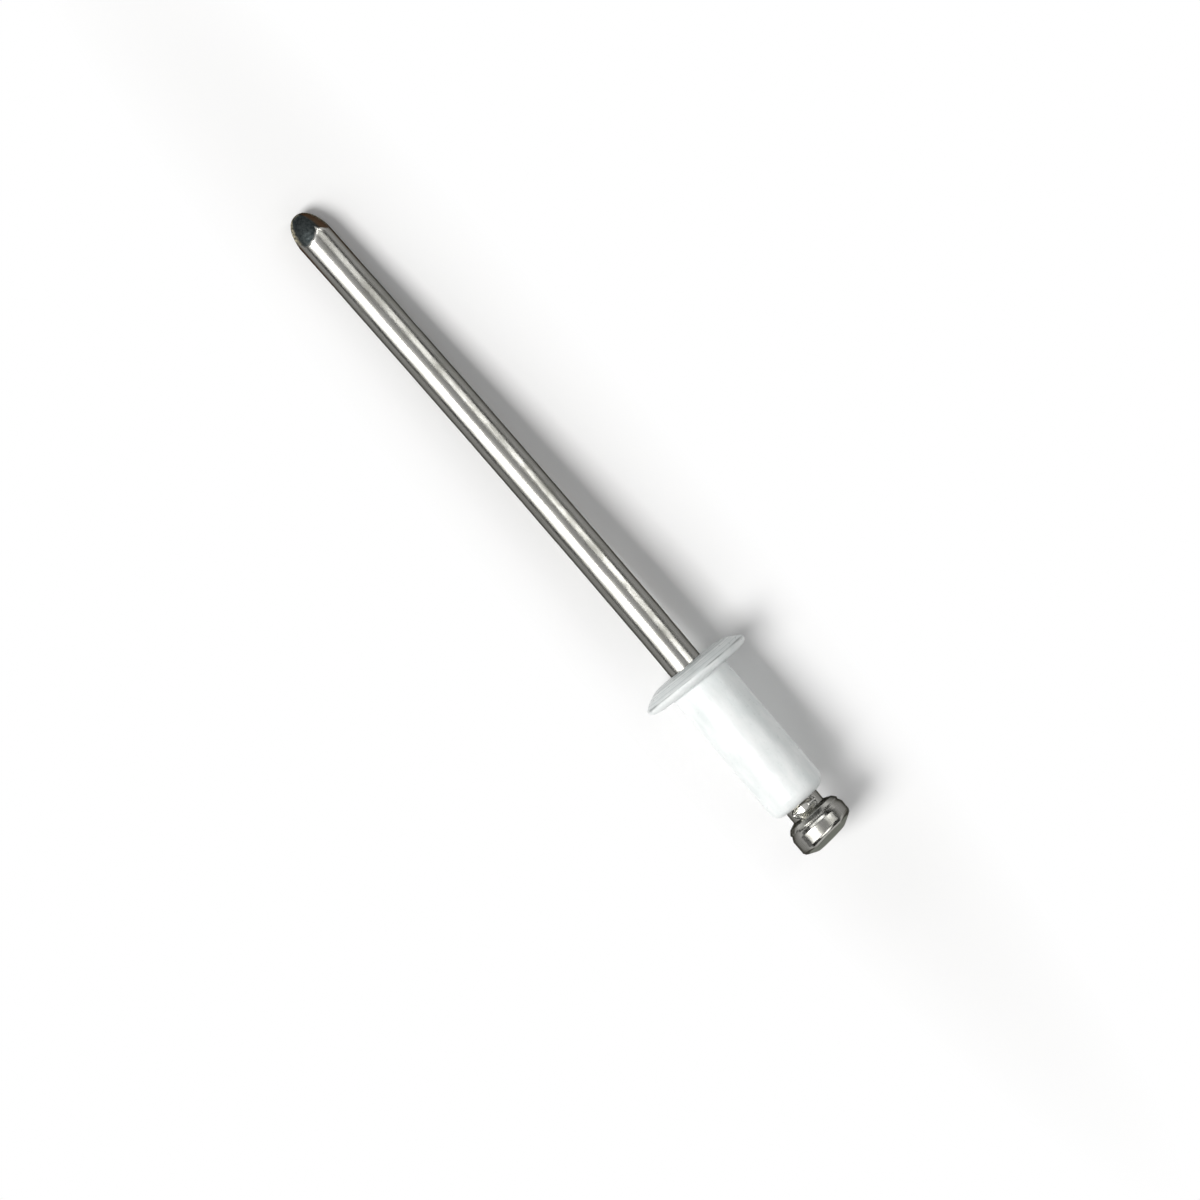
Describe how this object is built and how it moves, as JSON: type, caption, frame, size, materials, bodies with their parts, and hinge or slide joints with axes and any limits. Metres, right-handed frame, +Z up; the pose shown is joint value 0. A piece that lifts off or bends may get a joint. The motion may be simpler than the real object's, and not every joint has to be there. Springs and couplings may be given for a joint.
{
  "type": "pop rivet",
  "caption": "Open-end blind rivet as supplied: white painted flanged sleeve on a pointed steel mandrel with an upset head.",
  "frame": {"origin": "centre of the flange's bearing face, on the rivet's axis", "axes": "+Z up with the rivet lying at rest; the axis lies in the XZ plane, 4.24 degrees off X, with the sleeve and the mandrel's head towards +X and the mandrel's point towards -X"},
  "size_m": [0.0407, 0.006, 0.0061],
  "materials": {
    "painted_aluminium": "white satin enamel",
    "mandrel_steel": "drawn bright wire"
  },
  "bodies": {
    "root": {"rivet_body": "painted_aluminium", "mandrel": "mandrel_steel"}
  },
  "joints": []
}
